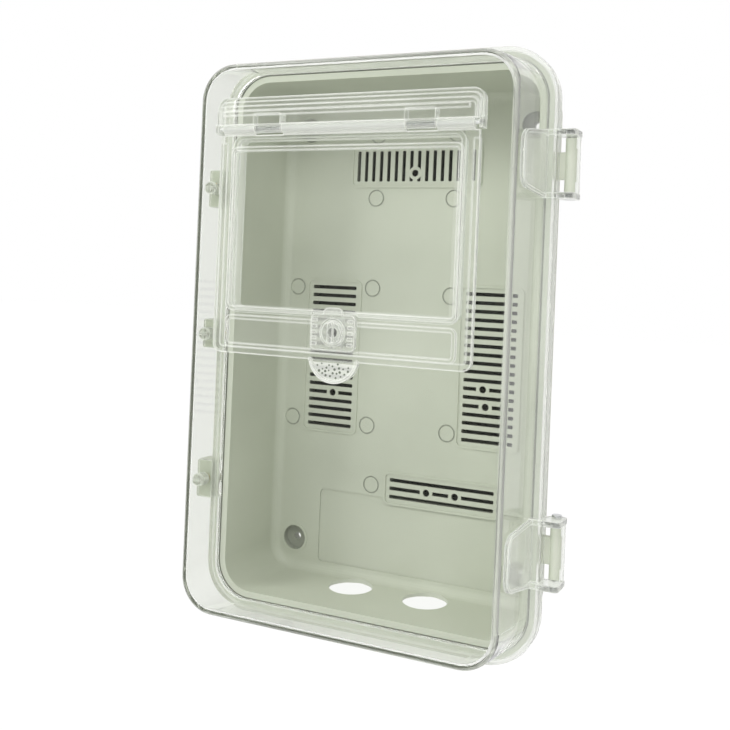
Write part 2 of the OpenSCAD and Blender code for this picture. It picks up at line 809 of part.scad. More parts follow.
// Captive screw with a finger head, cross drilled for a seal wire
module seal_screw(z) {
    y_head = y_flange - washer_t;
    color([0.78, 0.8, 0.77])
    difference() {
        union() {
            rod_y(-screw_x, z, head_d / 2 - 0.5, y_head - head_h, y_head - head_h + 1);
            rod_y(-screw_x, z, head_d / 2, y_head - head_h + 1 - eps, y_head);
            rod_y(-screw_x, z, shank_d / 2, y_head - eps, y_part + lug_depth - 1);
        }
        facing(y_head - head_h - 1, y_head - head_h + 1.2)
            translate([-screw_x, z]) square([head_d, 1.2], center = true);
        translate([-screw_x, y_head - head_h / 2 + 0.4, z - head_d]) cylinder(h = 2 * head_d, r = 0.8);
    }
}

module seal_screw_upper() { seal_screw(lugs[0][0]); }

module seal_screw_middle() { seal_screw(lugs[1][0]); }

module seal_screw_lower() { seal_screw(lugs[2][0]); }

module seal_washers() {
    color([0.92, 0.92, 0.9])
    for (l = lugs) facing(y_flange - washer_t, y_flange) translate([-screw_x, l[0]]) difference() {
        circle(head_d / 2);
        circle(shank_d / 2 + insert_gap);
    }
}

base_tray();
rim_gasket();
lug_inserts();
lid_shell();
hinge_bracket_upper();
hinge_bracket_lower();
hinge_pin_upper();
hinge_pin_lower();
window_hood();
window_seal();
window_hinge_rod();
window_flap();
latch_block();
latch_knob();
latch_cam();
latch_screw();
seal_screw_upper();
seal_screw_middle();
seal_screw_lower();
seal_washers();
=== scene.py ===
import math

import bpy
from mathutils import Matrix, Vector


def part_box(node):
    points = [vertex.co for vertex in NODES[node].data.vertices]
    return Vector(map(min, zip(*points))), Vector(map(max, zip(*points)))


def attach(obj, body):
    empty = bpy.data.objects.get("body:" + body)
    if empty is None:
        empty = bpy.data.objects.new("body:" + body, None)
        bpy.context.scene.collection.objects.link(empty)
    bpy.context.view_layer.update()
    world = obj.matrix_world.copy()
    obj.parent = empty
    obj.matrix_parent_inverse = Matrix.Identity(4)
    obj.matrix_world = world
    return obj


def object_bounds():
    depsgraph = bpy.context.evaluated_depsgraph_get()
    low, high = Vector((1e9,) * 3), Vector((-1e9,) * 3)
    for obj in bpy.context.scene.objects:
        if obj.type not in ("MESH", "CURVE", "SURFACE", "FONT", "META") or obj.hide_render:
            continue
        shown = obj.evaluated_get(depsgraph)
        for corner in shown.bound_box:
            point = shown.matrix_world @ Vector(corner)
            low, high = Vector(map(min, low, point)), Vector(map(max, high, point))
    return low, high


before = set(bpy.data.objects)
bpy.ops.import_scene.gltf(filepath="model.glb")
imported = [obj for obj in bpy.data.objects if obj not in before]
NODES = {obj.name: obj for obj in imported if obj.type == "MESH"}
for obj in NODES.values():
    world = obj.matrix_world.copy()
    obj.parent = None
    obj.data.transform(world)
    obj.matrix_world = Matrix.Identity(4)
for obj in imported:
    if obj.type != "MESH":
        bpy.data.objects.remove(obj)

# Looks of a wall-hung meter enclosure: a grey-green tray behind a deep clear lid with a window
# flap, a quarter-turn latch, side hinges and seal screws. Lengths are metres, +Z is up and the front
# faces -Y. Sizes of the enclosure are noted in millimetres and multiplied by MM where they are used.

CAD_BOX = [list(corner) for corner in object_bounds()]
MM = 0.001
scene = bpy.context.scene


# ------------------------------------------------------------------ helpers for node trees

def effect(name, inputs, outputs):
    """An empty node group with named float inputs, {name: default}, and named outputs."""
    group = bpy.data.node_groups.new(name, "ShaderNodeTree")
    for label, value in inputs.items():
        socket = group.interface.new_socket(label, in_out="INPUT", socket_type="NodeSocketFloat")
        socket.default_value = value
    for label in outputs:
        group.interface.new_socket(label, in_out="OUTPUT", socket_type="NodeSocketFloat")
    return group, group.nodes.new("NodeGroupInput"), group.nodes.new("NodeGroupOutput")


def noise(tree, coords, scale, detail=2.0, rough=0.5):
    """Noise at a set scale, or at a scale that a socket gives."""
    node = tree.nodes.new("ShaderNodeTexNoise")
    node.inputs["Detail"].default_value = detail
    node.inputs["Roughness"].default_value = rough
    if isinstance(scale, (int, float)):
        node.inputs["Scale"].default_value = scale
    else:
        tree.links.new(scale, node.inputs["Scale"])
    tree.links.new(coords, node.inputs["Vector"])
    return node.outputs["Fac"]


def arith(tree, operation, a, b=None, clamp=False):
    """One sum on numbers or sockets."""
    node = tree.nodes.new("ShaderNodeMath")
    node.operation = operation
    node.use_clamp = clamp
    for k, value in enumerate((a, b)):
        if value is None:
            continue
        if isinstance(value, (int, float)):
            node.inputs[k].default_value = value
        else:
            tree.links.new(value, node.inputs[k])
    return node.outputs[0]


def spread(tree, value, low, high, to_low=0.0, to_high=1.0):
    """Maps low..high smoothly onto to_low..to_high, and holds the ends."""
    node = tree.nodes.new("ShaderNodeMapRange")
    node.interpolation_type = "SMOOTHSTEP"
    tree.links.new(value, node.inputs["Value"])
    for label, number in zip(("From Min", "From Max", "To Min", "To Max"), (low, high, to_low, to_high)):
        node.inputs[label].default_value = number
    return node.outputs["Result"]


def spot(tree, kind="Object"):
    """The place on the part, or with kind Normal the way that its face looks."""
    return tree.nodes.new("ShaderNodeTexCoord").outputs[kind]


def parts_of(tree, vector):
    """X, Y and Z of a vector."""
    node = tree.nodes.new("ShaderNodeSeparateXYZ")
    tree.links.new(vector, node.inputs[0])
    return node.outputs["X"], node.outputs["Y"], node.outputs["Z"]


def inside(tree, value, low, high, soft=0.15 * MM):
    """1 where value lies between low and high, fading over the soft width."""
    rising = spread(tree, value, low - soft, low + soft)
    falling = spread(tree, value, high - soft, high + soft, 1.0, 0.0)
    return arith(tree, "MULTIPLY", rising, falling)


def most_of(tree, values):
    """The largest of several masks."""
    largest = values[0]
    for value in values[1:]:
        largest = arith(tree, "MAXIMUM", largest, value)
    return largest


def all_of(tree, values):
    """The product of several masks."""
    product = values[0]
    for value in values[1:]:
        product = arith(tree, "MULTIPLY", product, value)
    return product


def mixed(tree, share, a, b):
    """Shader node a where share is 0 and shader node b where it is 1."""
    mix = tree.nodes.new("ShaderNodeMixShader")
    tree.links.new(share, mix.inputs[0])
    tree.links.new(a.outputs[0], mix.inputs[1])
    tree.links.new(b.outputs[0], mix.inputs[2])
    return mix


# ------------------------------------------------------------------ shared surface effects

# The middle of a noise, which holds most of it
MID_NOISE = (0.3, 0.7)
# Dust: how far up a face looks, from none to fully dusty, and how its patches are parted
DUST_LIES = (0.2, 0.95)
DUST_PATCHES = (0.35, 0.75)
# Wipe marks: how their streaks are drawn out and slanted, and the noise that counts as a streak
STREAK_STRETCH, STREAK_SLANT = (1.0, 1.0, 0.18), (0.0, 0.5, 0.0)
STREAKS = (0.5, 0.8)
# Drawn lines in metal: how they are drawn out, and their least and greatest roughness
LINE_STRETCH = (0.04, 1.0, 1.0)
LINE_ROUGHNESS = (0.22, 0.4)


def moulded_grain():
    """Height is the fine grain of a mould, and Cloud a slow unevenness of colour."""
    group, given, out = effect(
        "moulded_grain", {"Grain Scale": 2600.0, "Cloud Scale": 14.0}, ("Height", "Cloud"))
    where = spot(group)
    fine = noise(group, where, given.outputs["Grain Scale"], detail=3.0, rough=0.6)
    cloud = noise(group, where, given.outputs["Cloud Scale"], detail=3.0, rough=0.55)
    group.links.new(fine, out.inputs["Height"])
    group.links.new(spread(group, cloud, *MID_NOISE), out.inputs["Cloud"])
    return group


def settled_dust():
    """Dust in patches on faces that look up."""
    group, given, out = effect("settled_dust", {"Amount": 0.2, "Patch Scale": 60.0}, ("Dust",))
    upward = parts_of(group, spot(group, "Normal"))[2]
    patches = noise(group, spot(group), given.outputs["Patch Scale"], detail=4.0, rough=0.6)
    amount = all_of(group, [spread(group, patches, *DUST_PATCHES), spread(group, upward, *DUST_LIES),
                            given.outputs["Amount"]])
    group.links.new(amount, out.inputs["Dust"])
    return group


def wipe_marks():
    """Roughness of a wiped clear face, with slanting streaks, and the Height of its slow waves."""
    group, given, out = effect(
        "wipe_marks",
        {"Base": 0.03, "Extra": 0.05, "Streak Scale": 240.0, "Haze Scale": 18.0, "Wave Scale": 42.0},
        ("Roughness", "Height"))
    where = spot(group)
    stretch = group.nodes.new("ShaderNodeMapping")
    stretch.inputs["Scale"].default_value = STREAK_STRETCH
    stretch.inputs["Rotation"].default_value = STREAK_SLANT
    group.links.new(where, stretch.inputs["Vector"])
    streak = noise(group, stretch.outputs[0], given.outputs["Streak Scale"], detail=5.0, rough=0.7)
    haze = noise(group, where, given.outputs["Haze Scale"])
    mark = all_of(group, [spread(group, streak, *STREAKS), haze, given.outputs["Extra"]])
    group.links.new(arith(group, "ADD", mark, given.outputs["Base"]), out.inputs["Roughness"])
    wave = noise(group, where, given.outputs["Wave Scale"], detail=1.0)
    group.links.new(wave, out.inputs["Height"])
    return group


def brushed_lines():
    """Fine lines along X, as a Height and a Roughness."""
    group, given, out = effect("brushed_lines", {"Line Scale": 2200.0}, ("Height", "Roughness"))
    where = spot(group)
    stretch = group.nodes.new("ShaderNodeMapping")
    stretch.inputs["Scale"].default_value = LINE_STRETCH
    group.links.new(where, stretch.inputs["Vector"])
    lines = noise(group, stretch.outputs[0], given.outputs["Line Scale"])
    group.links.new(lines, out.inputs["Height"])
    group.links.new(spread(group, lines, *MID_NOISE, *LINE_ROUGHNESS), out.inputs["Roughness"])
    return group


# How well a rounded edge's face agrees with the true face, as a cosine: fully edge below the first
# and none of it above the second, and the same for the band beside the edge
EDGE_AGREES = (0.84, 0.96)
HALO_AGREES = (0.97, 0.997)
EDGE_SAMPLES = 4


def moulded_edges():
    """Edge is 1 along every sharp edge of the moulding, and Halo is 1 in a band beside it."""
    group, given, out = effect("moulded_edges", {"Width": 0.6 * MM}, ("Edge", "Halo"))
    rounded = group.nodes.new("ShaderNodeBevel")
    rounded.samples = EDGE_SAMPLES
    group.links.new(given.outputs["Width"], rounded.inputs["Radius"])
    true_face = group.nodes.new("ShaderNodeNewGeometry").outputs["Normal"]
    agree = group.nodes.new("ShaderNodeVectorMath")
    agree.operation = "DOT_PRODUCT"
    group.links.new(rounded.outputs["Normal"], agree.inputs[0])
    group.links.new(true_face, agree.inputs[1])
    near = spread(group, agree.outputs["Value"], *EDGE_AGREES, 1.0, 0.0)
    beside = spread(group, agree.outputs["Value"], *HALO_AGREES, 1.0, 0.0)
    group.links.new(near, out.inputs["Edge"])
    group.links.new(arith(group, "SUBTRACT", beside, near, clamp=True), out.inputs["Halo"])
    return group


# The tray's own layout, across X and up Z: slot fields as (x, z, width, height) and the depths, along
# Y, of its inner floor and of the skin behind the slots
SLOT_FIELDS = (
    (0, 105, 77.2, 18.5),
    (-51, -12.5, 30, 87.2),
    (51, -12.5, 30, 87.2),
    (24.5, -89, 65.5, 12.2),
)
TRAY_FLOOR_Y = -9.3
SLOT_END_Y = -1.5
# Behind the floor: where a hollow begins and is fully one, and between which depths a mark lies
HOLLOW_FROM_Y, HOLLOW_FULL_Y = TRAY_FLOOR_Y + 0.15, TRAY_FLOOR_Y + 1.6
MARK_FROM_Y, MARK_TO_Y = TRAY_FLOOR_Y + 0.1, TRAY_FLOOR_Y + 0.65
# Distance of the feet's recesses from the middle, and their radius
FOOT_X, FOOT_Z, FOOT_RADIUS = 72, 128, 7.8
# Half the flat part of the inner floor, and where the hinge knuckles' arms begin
FLOOR_HALF_X, FLOOR_HALF_Z = 81, 140.5
KNUCKLE_X = 99
# Widths over which the masks of the slots' ends, recesses, marks and knuckles fade
SLOT_FADE, FOOT_FADE, MARK_FADE, KNUCKLE_FADE = 0.3, 0.4, 0.05, 0.5


def tray_hollows():
    """Masks of the tray: its slots, wall-fixing recesses and shallow marks in its floor, which take painted
    shade, and its knuckles, which take painted light.
    """
    group, _, out = effect("tray_hollows", {}, ("Slot", "Recess", "Mark", "Knuckle"))
    x, y, z = parts_of(group, spot(group))
    depth = spread(group, y, HOLLOW_FROM_Y * MM, HOLLOW_FULL_Y * MM)
    before_skin = spread(group, y, SLOT_END_Y * MM, (SLOT_END_Y + SLOT_FADE) * MM, 1.0, 0.0)
    fields = []
    for field_x, field_z, width, height in SLOT_FIELDS:
        across = inside(group, x, (field_x - width / 2) * MM, (field_x + width / 2) * MM)
        along = inside(group, z, (field_z - height / 2) * MM, (field_z + height / 2) * MM)
        fields.append(arith(group, "MULTIPLY", across, along))
    group.links.new(all_of(group, [most_of(group, fields), depth, before_skin]), out.inputs["Slot"])

    from_foot_x = arith(group, "SUBTRACT", arith(group, "ABSOLUTE", x), FOOT_X * MM)
    from_foot_z = arith(group, "SUBTRACT", arith(group, "ABSOLUTE", z), FOOT_Z * MM)
    squared = arith(group, "ADD", arith(group, "MULTIPLY", from_foot_x, from_foot_x),
                    arith(group, "MULTIPLY", from_foot_z, from_foot_z))
    in_foot = spread(group, arith(group, "SQRT", squared), (FOOT_RADIUS - FOOT_FADE) * MM,
                     FOOT_RADIUS * MM, 1.0, 0.0)
    group.links.new(all_of(group, [in_foot, depth]), out.inputs["Recess"])

    on_floor = all_of(group, [
        inside(group, x, -FLOOR_HALF_X * MM, FLOOR_HALF_X * MM),
        inside(group, z, -FLOOR_HALF_Z * MM, FLOOR_HALF_Z * MM),
        inside(group, y, MARK_FROM_Y * MM, MARK_TO_Y * MM, MARK_FADE * MM)])
    group.links.new(on_floor, out.inputs["Mark"])
    knuckle = spread(group, x, KNUCKLE_X * MM, (KNUCKLE_X + KNUCKLE_FADE) * MM)
    group.links.new(knuckle, out.inputs["Knuckle"])
    return group


GRAIN = moulded_grain()
DUST = settled_dust()
WIPES = wipe_marks()
BRUSH = brushed_lines()
EDGES = moulded_edges()
HOLLOWS = tray_hollows()


# ------------------------------------------------------------------ finishes

def finish(name):
    """A new material with its node tree, its main shader and its output."""
    material = bpy.data.materials.new(name)
    material.use_nodes = True
    tree = material.node_tree
    return material, tree, tree.nodes["Principled BSDF"], tree.nodes["Material Output"]


def placed(tree, group, **values):
    """A shared effect in a material, with values of its own."""
    node = tree.nodes.new("ShaderNodeGroup")
    node.node_tree = group
    for label, value in values.items():
        node.inputs[label.replace("_", " ")].default_value = value
    return node


def bumped(tree, shader, height, distance, strength):
    """Gives the shader a relief of this distance and strength."""
    bump = tree.nodes.new("ShaderNodeBump")
    bump.inputs["Strength"].default_value = strength
    bump.inputs["Distance"].default_value = distance
    tree.links.new(height, bump.inputs["Height"])
    tree.links.new(bump.outputs[0], shader.inputs["Normal"])


def tinted(tree, factor, a, b):
    """Colour a where factor is 0 and colour b where it is 1."""
    mix = tree.nodes.new("ShaderNodeMix")
    mix.data_type = "RGBA"
    tree.links.new(factor, mix.inputs[0])
    for socket, colour in ((mix.inputs[6], a), (mix.inputs[7], b)):
        if isinstance(colour, tuple):
            socket.default_value = (*colour, 1)
        else:
            tree.links.new(colour, socket)
    return mix.outputs[2]


def shaded(colour, by):
    """The colour made darker or lighter by a factor."""
    return tuple(by * channel for channel in colour)


def grainy(tree, height, roughness, less, more):
    """Roughness that follows the grain, between less below and more above the given one."""
    return spread(tree, height, *MID_NOISE, roughness - less, roughness + more)


# Matt plastic: the width of its edges, how much of the paler shade they take and how pale that is, which
# is partly wear and partly painted highlight, the depth of its grain, its refractive index and gloss, its
# dust, and the colours that the tray's marks, recesses and slots take as painted shade and its knuckles as
# painted light
WEAR_AND_HIGHLIGHT_WIDTH, WEAR_AND_HIGHLIGHT_SHARE, WEAR_AND_HIGHLIGHT_PALENESS = 0.5 * MM, 0.5, 1.1
GRAIN_DEPTH = 0.04 * MM
MATT_INDEX, MATT_GLOSS = 1.5, 0.35
DUST_AMOUNT, DUST_COLOUR = 0.15, (0.62, 0.60, 0.55)
# The slots are painted near black as painted shadow, the recesses and floor marks darker as painted shade,
# and the knuckles paler as painted light.
SLOT_PAINTED_SHADOW = (0.012, 0.014, 0.011)
MARK_PAINTED_SHADE, RECESS_PAINTED_SHADE, KNUCKLE_PAINTED_LIGHT = 0.66, 0.56, 1.18


def moulded_plastic(name, colour, darker, roughness, hollows=False):
    """Matt grained plastic, paler along its edges, partly as wear and partly as a painted highlight. With
    hollows it also takes the tray's masks: painted shade in its slots, recesses and floor marks, and painted
    light on its knuckles.
    """
    material, tree, shader, _ = finish(name)
    grain = placed(tree, GRAIN)
    shade = tinted(tree, grain.outputs["Cloud"], darker, colour)
    # Edges are made paler, partly as wear and partly as a painted highlight.
    wear_and_highlight = arith(tree, "MULTIPLY", placed(tree, EDGES, Width=WEAR_AND_HIGHLIGHT_WIDTH).outputs["Edge"], WEAR_AND_HIGHLIGHT_SHARE)
    shade = tinted(tree, wear_and_highlight, shade, shaded(colour, WEAR_AND_HIGHLIGHT_PALENESS))
    dusty = placed(tree, DUST, Amount=DUST_AMOUNT)
    shade = tinted(tree, dusty.outputs["Dust"], shade, DUST_COLOUR)
    if hollows:
        # Painted shade in the tray's slots, recesses and floor marks, and painted light on its knuckles.
        hollow = placed(tree, HOLLOWS)
        for mask, paint in (("Mark", shaded(colour, MARK_PAINTED_SHADE)), ("Recess", shaded(colour, RECESS_PAINTED_SHADE)),
                            ("Slot", SLOT_PAINTED_SHADOW), ("Knuckle", shaded(colour, KNUCKLE_PAINTED_LIGHT))):
            shade = tinted(tree, hollow.outputs[mask], shade, paint)
    tree.links.new(shade, shader.inputs["Base Color"])
    tree.links.new(grainy(tree, grain.outputs["Height"], roughness, less=0.05, more=0.07),
                   shader.inputs["Roughness"])
    shader.inputs["IOR"].default_value = MATT_INDEX
    shader.inputs["Specular IOR Level"].default_value = MATT_GLOSS
    bumped(tree, shader, grain.outputs["Height"], GRAIN_DEPTH, strength=0.5)
    return material


def side_painted_highlight(tree, share):
    """Share of painted highlight, a pale matt share, on the narrow faces, which look sideways, up or down."""
    facing = parts_of(tree, spot(tree, "Normal"))[1]
    return spread(tree, arith(tree, "ABSOLUTE", facing), *SIDE_FACING, share, 0.0)


def flange_haze(tree, share):
    """Share of milky plastic in the lid's flange and skirt, outside its deep wall."""
    x, y, z = parts_of(tree, spot(tree))
    beyond = []
    for across, core in ((x, CORE_X), (z, CORE_Z)):
        past = arith(tree, "SUBTRACT", arith(tree, "ABSOLUTE", across), core * MM)
        past = arith(tree, "MAXIMUM", past, 0.0)
        beyond.append(arith(tree, "MULTIPLY", past, past))
    outward = arith(tree, "SQRT", arith(tree, "ADD", *beyond))
    in_flange = inside(tree, outward, WALL_ROOT * MM, FLANGE_EDGE * MM, FLANGE_FADE * MM)
    behind = spread(tree, y, FLANGE_FROM_Y * MM, FLANGE_FULL_Y * MM)
    return arith(tree, "MULTIPLY", arith(tree, "MULTIPLY", in_flange, behind), share)


def collar_haze(tree, share):
    """Share of milky plastic in the collar behind the window opening."""
    x, y, z = parts_of(tree, spot(tree))
    facing = parts_of(tree, spot(tree, "Normal"))[1]
    low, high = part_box("window_seal")
    near = all_of(tree, [
        inside(tree, x, low[0], high[0]), inside(tree, z, low[2], high[2]),
        spread(tree, arith(tree, "ABSOLUTE", facing), *COLLAR_FACING, 1.0, 0.0),
        spread(tree, y, high[1] + COLLAR_DEPTH * MM, high[1] + COLLAR_END * MM, 1.0, 0.0)])
    return arith(tree, "MULTIPLY", near, share)


def even_haze(tree, share):
    """Share of milky plastic everywhere in a thick moulding, a little uneven."""
    cloud = placed(tree, GRAIN, Cloud_Scale=90.0).outputs["Cloud"]
    return spread(tree, cloud, 0.0, 1.0, EVEN_LEAST * share, share)


def frame_haze(tree, share):
    """Share of milky plastic in the flap's frame, outside its flat pane."""
    x, _, z = parts_of(tree, spot(tree))
    pane = all_of(tree, [inside(tree, x, -PANE_HALF_X * MM, PANE_HALF_X * MM),
                         inside(tree, z, PANE_LOW_Z * MM, PANE_HIGH_Z * MM)])
    return arith(tree, "MULTIPLY", arith(tree, "SUBTRACT", 1.0, pane), share)


def band_haze(tree, share, low, high):
    """Share of milky plastic between two heights, such as the finger pull or the hinge barrels."""
    z = parts_of(tree, spot(tree))[2]
    return arith(tree, "MULTIPLY", inside(tree, z, low * MM, high * MM), share)


def rounding(tree):
    """1 on faces that lie askew, such as the lid's rounded front edge."""
    facing = parts_of(tree, spot(tree, "Normal"))[1]
    return inside(tree, arith(tree, "ABSOLUTE", facing), *ROUND_FACING, ROUND_FADE)


def clear_plastic(name, colour, roughness=0.02, extra=0.05, edge=0.9, rounded=None, width=1.3, hazes=()):
    """Clear moulding: light passes straight through it, it bends what is seen behind it, and a pale matt
    share is painted along its edges as a highlight, beside a band of painted shade; it also turns milky
    where each of the hazes, (function, share, ...), says, and on narrow sides that share is a painted
    highlight. On a rounded edge the painted highlight has a share of its own."""
    material, tree, shader, out = finish(name)
    marks = placed(tree, WIPES, Base=roughness, Extra=extra)
    edges = placed(tree, EDGES, Width=width * MM)
    # Painted shade: a darker band beside each edge.
    painted_edge_shade = shaded(colour, EDGE_PAINTED_SHADE)
    if rounded is not None:
        askew = rounding(tree)
        edge = arith(tree, "MULTIPLY", arith(tree, "SUBTRACT", 1.0, askew), edge)
    beside = arith(tree, "MULTIPLY", edges.outputs["Halo"], edge)
    tree.links.new(tinted(tree, beside, colour, painted_edge_shade), shader.inputs["Base Color"])
    shader.inputs["Transmission Weight"].default_value = 1.0
    shader.inputs["IOR"].default_value = CLEAR_INDEX
    shader.inputs["Specular Tint"].default_value = (*MIRRORED, 1)
    tree.links.new(marks.outputs["Roughness"], shader.inputs["Roughness"])
    bumped(tree, shader, marks.outputs["Height"], WAVE_DEPTH, strength=0.25)
    through = tree.nodes.new("ShaderNodeBsdfTransparent")
    through.inputs["Color"].default_value = (*LETS_THROUGH, 1)
    path = tree.nodes.new("ShaderNodeLightPath")
    carries = arith(tree, "MAXIMUM", path.outputs["Is Shadow Ray"], path.outputs["Is Diffuse Ray"])
    clear = mixed(tree, carries, shader, through)
    # A pale matt share: painted highlight along edges, on narrow sides and on the rounded edge, and milkiness
    # in the other hazes.
    milk_and_highlight = tree.nodes.new("ShaderNodeBsdfPrincipled")
    milk_and_highlight.inputs["Base Color"].default_value = (*MILK_AND_HIGHLIGHT, 1)
    milk_and_highlight.inputs["Roughness"].default_value = MILK_AND_HIGHLIGHT_ROUGHNESS
    grains = placed(tree, GRAIN, Grain_Scale=1800.0)
    cloudy = spread(tree, grains.outputs["Cloud"], 0.0, 1.0, MILK_AND_HIGHLIGHT_LEAST, 1.0)
    # Painted highlight along every edge.
    along = arith(tree, "MULTIPLY", edges.outputs["Edge"], edge)
    shares = [along] + [haze(tree, *given) for haze, *given in hazes]
    # Painted highlight on the rounded edge.
    if rounded is not None:
        shares.append(arith(tree, "MULTIPLY", askew, rounded))
    milk_and_highlight_share = arith(tree, "MULTIPLY", most_of(tree, shares), cloudy)
    tree.links.new(mixed(tree, milk_and_highlight_share, clear, milk_and_highlight).outputs[0], out.inputs["Surface"])
    return material


def metal(name, colour):
    """Bare metal with fine drawn lines."""
    material, tree, shader, _ = finish(name)
    lines = placed(tree, BRUSH)
    shader.inputs["Base Color"].default_value = (*colour, 1)
    shader.inputs["Metallic"].default_value = 1.0
    tree.links.new(lines.outputs["Roughness"], shader.inputs["Roughness"])
    bumped(tree, shader, lines.outputs["Height"], distance=0.02 * MM, strength=0.4)
    return material


def rubber(name, colour, darker, roughness):
    """Dull soft rubber."""
    material, tree, shader, _ = finish(name)
    grain = placed(tree, GRAIN, Grain_Scale=3400.0, Cloud_Scale=40.0)
    tree.links.new(tinted(tree, grain.outputs["Cloud"], darker, colour), shader.inputs["Base Color"])
    tree.links.new(grainy(tree, grain.outputs["Height"], roughness, less=0.06, more=0.06),
                   shader.inputs["Roughness"])
    shader.inputs["Sheen Weight"].default_value = 0.15
    bumped(tree, shader, grain.outputs["Height"], distance=0.03 * MM, strength=0.4)
    return material


# Core rectangle that the lid's outlines are drawn around, the distances outward from it of the deep
# wall's root and the flange's edge, and the flange's front plane
CORE_X, CORE_Z = 72, 131.5
WALL_ROOT, FLANGE_EDGE = 23.6, 29.0
FLANGE_Y = -65.0
FLANGE_FROM_Y, FLANGE_FULL_Y, FLANGE_FADE = FLANGE_Y - 0.4, FLANGE_Y - 0.1, 0.3
# The collar behind the window opening: how far behind the window seal its milk begins to end, and
# where it has ended
COLLAR_DEPTH, COLLAR_END = 8, 10
# Inner edges of the flap's frame, and the heights of its lower edge, finger pull and barrels
PANE_HALF_X, PANE_LOW_Z, PANE_HIGH_Z = 62, 20, 107
FLAP_BOTTOM_Z, PULL_BOTTOM_Z = -6.5, -20
BARREL_LOW_Z, BARREL_HIGH_Z = 110.5, 120
# How squarely a face looks to the front or back, as a cosine: below the first value a narrow side fully
# takes its painted highlight and the collar's wall is fully milky, above the second neither is, and a
# rounded edge, which also takes a painted highlight, lies between
SIDE_FACING = (0.8, 0.95)
COLLAR_FACING = (0.5, 0.7)
ROUND_FACING, ROUND_FADE = (0.22, 0.92), 0.06
# Clear plastic: how much darker the band beside an edge is, as painted shade, the colour and roughness
# of its pale matt share, which is painted highlight along edges, on narrow sides and on the rounded edge
# and milkiness in its other hazes, the least part of that share that clouds leave along edges and in
# thick mouldings, its refractive index, the tint of what it mirrors, what it lets through to light the
# tray behind it, the depth of its slow waves, and the colour of the small clear parts
EDGE_PAINTED_SHADE = 0.72
MILK_AND_HIGHLIGHT, MILK_AND_HIGHLIGHT_ROUGHNESS = (0.94, 0.95, 0.91), 0.3
MILK_AND_HIGHLIGHT_LEAST, EVEN_LEAST = 0.8, 0.7
CLEAR_INDEX = 1.52
MIRRORED = (0.25, 0.26, 0.22)
LETS_THROUGH = (0.97, 0.98, 0.97)
WAVE_DEPTH = 0.06 * MM
PALE_CLEAR = (0.95, 0.955, 0.94)

TRAY = moulded_plastic("grey_green_tray", (0.600, 0.624, 0.536), (0.558, 0.582, 0.496), 0.42,
                       hollows=True)
LID = clear_plastic("clear_lid", (0.922, 0.930, 0.906), edge=0.6, rounded=0.35, hazes=(
    (flange_haze, 0.22),
    (collar_haze, 0.6),
))
FLAP = clear_plastic("clear_flap", (0.965, 0.97, 0.955), width=1.7, hazes=(
    (side_painted_highlight, 0.6),
    (frame_haze, 0.06),
    (band_haze, 0.5, PULL_BOTTOM_Z, FLAP_BOTTOM_Z - 1),
    (band_haze, 0.45, BARREL_LOW_Z, BARREL_HIGH_Z),
))
HOOD = clear_plastic("clear_hood", PALE_CLEAR, 0.06, 0.06, width=1.5,
                     hazes=((side_painted_highlight, 0.45), (even_haze, 0.08)))
# The clear grip studs are tinted near black, as painted shade for the dark look they take.
GRIP = clear_plastic("grip_studs", (0.10, 0.12, 0.09), 0.05, 0.05, edge=0.25, width=0.3)
FITTING = clear_plastic("clear_fittings", PALE_CLEAR, 0.06, 0.06,
                        hazes=((side_painted_highlight, 0.25), (even_haze, 0.12)))
LATCH = clear_plastic("clear_latch", PALE_CLEAR, 0.08, 0.08,
                      hazes=((side_painted_highlight, 0.7), (even_haze, 0.23)))
SOFT_CLEAR = clear_plastic("clear_seals", (0.94, 0.945, 0.93), 0.15, 0.1, hazes=((side_painted_highlight, 0.75),))
SCREW_PLASTIC = clear_plastic("seal_screw_plastic", (0.83, 0.84, 0.80), 0.12, 0.1,
                              hazes=((side_painted_highlight, 0.45),))
WASHER = moulded_plastic("pale_washer", (0.80, 0.81, 0.77), (0.74, 0.75, 0.71), 0.4)
GASKET = rubber("rim_seal", (0.15, 0.16, 0.125), (0.12, 0.13, 0.10), 0.6)
STEEL = metal("steel_pins", (0.62, 0.63, 0.64))
BRIGHT_STEEL = metal("bright_steel_rod", (0.86, 0.87, 0.86))
BRASS = metal("brass_inserts", (0.72, 0.55, 0.27))

WEARS = {
    "base_tray": TRAY, "rim_gasket": GASKET, "lug_inserts": BRASS,
    "lid_shell": LID, "hinge_bracket_upper": FITTING, "hinge_bracket_lower": FITTING,
    "hinge_pin_upper": STEEL, "hinge_pin_lower": STEEL,
    "window_hood": HOOD, "window_seal": SOFT_CLEAR, "window_hinge_rod": BRIGHT_STEEL,
    "window_flap": FLAP, "latch_block": LATCH, "latch_knob": LATCH,
    "latch_cam": STEEL, "latch_screw": STEEL,
    "seal_screw_upper": SCREW_PLASTIC, "seal_screw_middle": SCREW_PLASTIC,
    "seal_screw_lower": SCREW_PLASTIC, "seal_washers": WASHER,
}
for node_name, material in WEARS.items():
    mesh = NODES[node_name].data
    mesh.materials.clear()
    mesh.materials.append(material)


# ------------------------------------------------------------------ grip studs and screw threads

def shape_rule(name, inputs):
    """An empty Geometry Nodes tree with named inputs, {name: (socket type, value)}, and one output."""
    tree = bpy.data.node_groups.new(name, "GeometryNodeTree")
    for label, (kind, value) in inputs.items():
        socket = tree.interface.new_socket(label, in_out="INPUT", socket_type=kind)
        if value is not None:
            socket.default_value = value
    tree.interface.new_socket("Geometry", in_out="OUTPUT", socket_type="NodeSocketGeometry")
    return tree, tree.nodes.new("NodeGroupInput"), tree.nodes.new("NodeGroupOutput")


